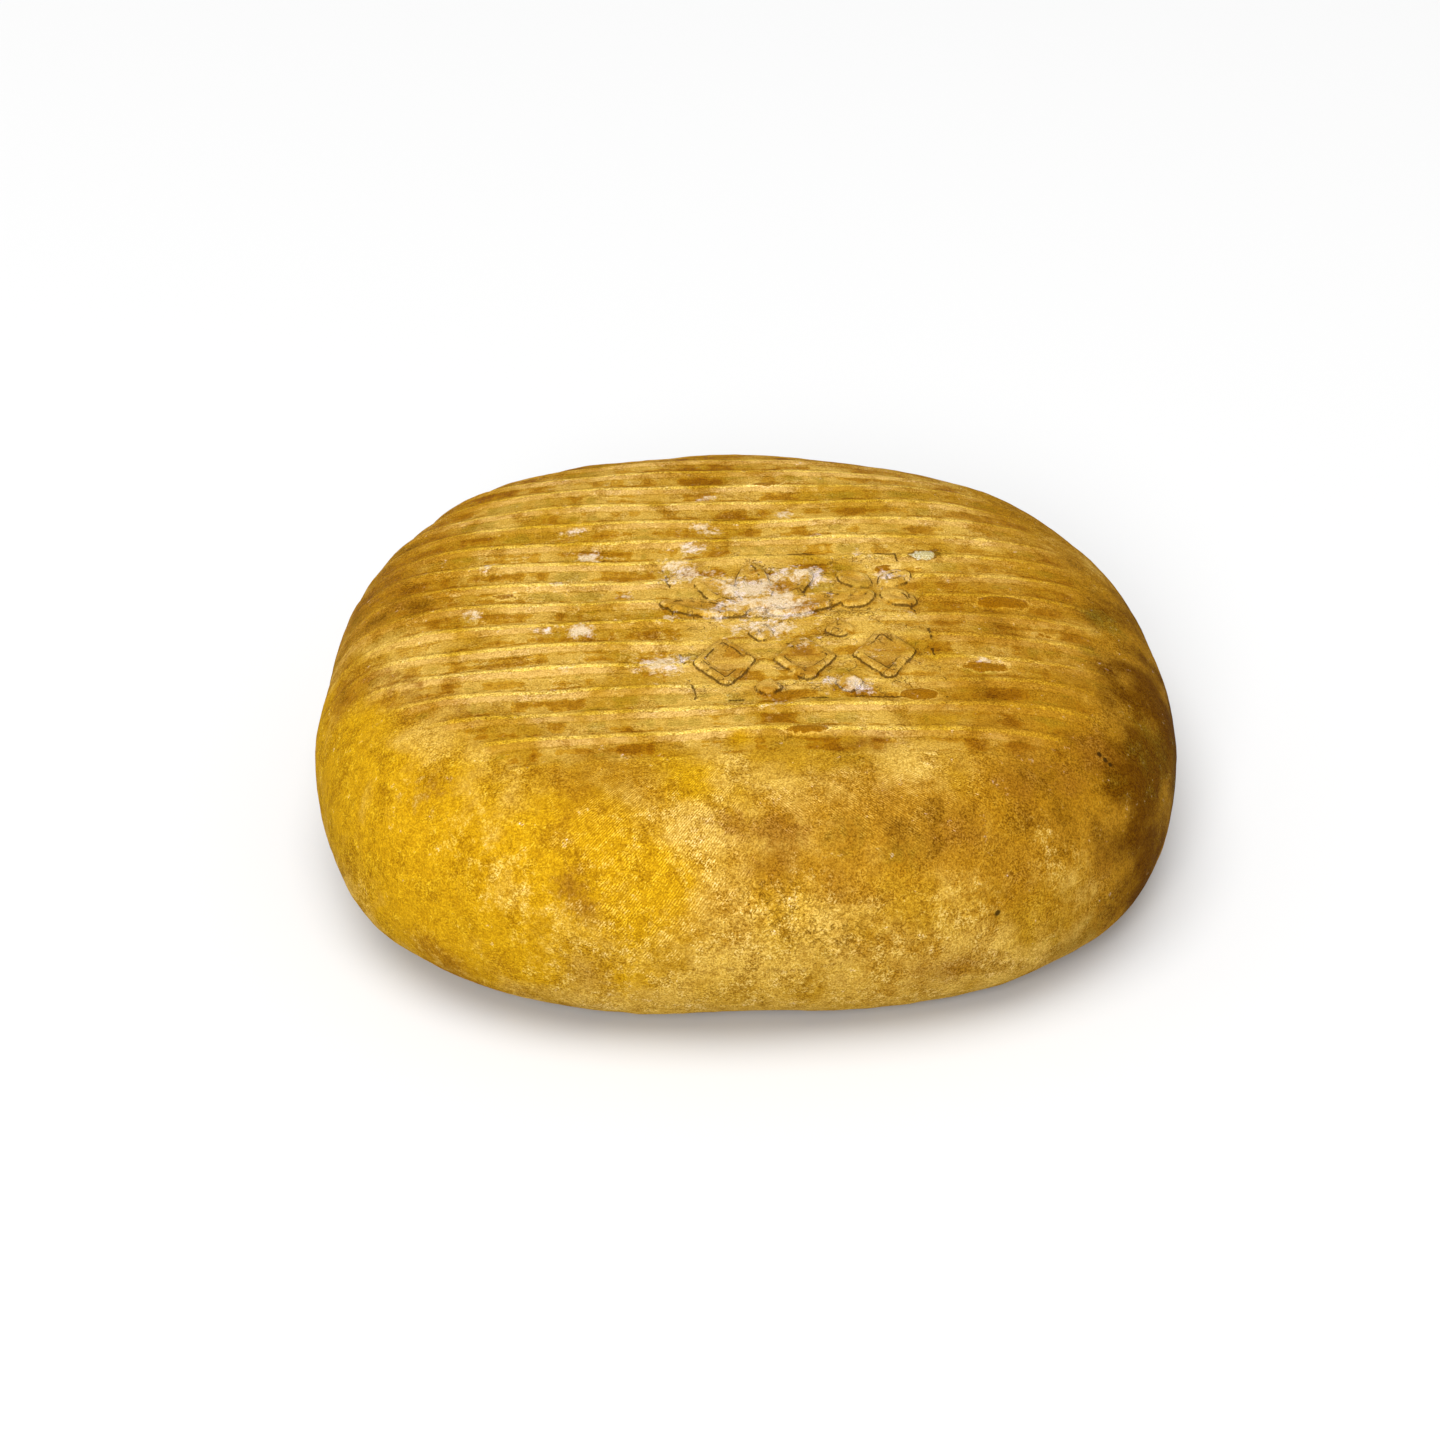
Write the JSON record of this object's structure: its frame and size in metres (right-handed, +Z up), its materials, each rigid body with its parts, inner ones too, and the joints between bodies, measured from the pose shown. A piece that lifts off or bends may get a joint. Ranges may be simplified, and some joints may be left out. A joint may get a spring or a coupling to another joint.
{
  "type": "cheese wheel",
  "caption": "Whole washed-rind cheese wheel, rounded square in plan, with a ribbed crown, a block-printed spray and a flat base.",
  "frame": {"origin": "middle of the base, at the bottom", "axes": "+Z up through the crown, +X along the ribs towards the shoulder where they fade, +Y across the ribs towards the back"},
  "size_m": [0.3014, 0.2998, 0.0895],
  "materials": {
    "rind": "washed cheese rind: golden yellow and tan, granular, faintly waxy, with amber bands between pale ribs and spots of white mould"
  },
  "bodies": {
    "root": {"cheese_wheel": "rind"}
  },
  "joints": []
}
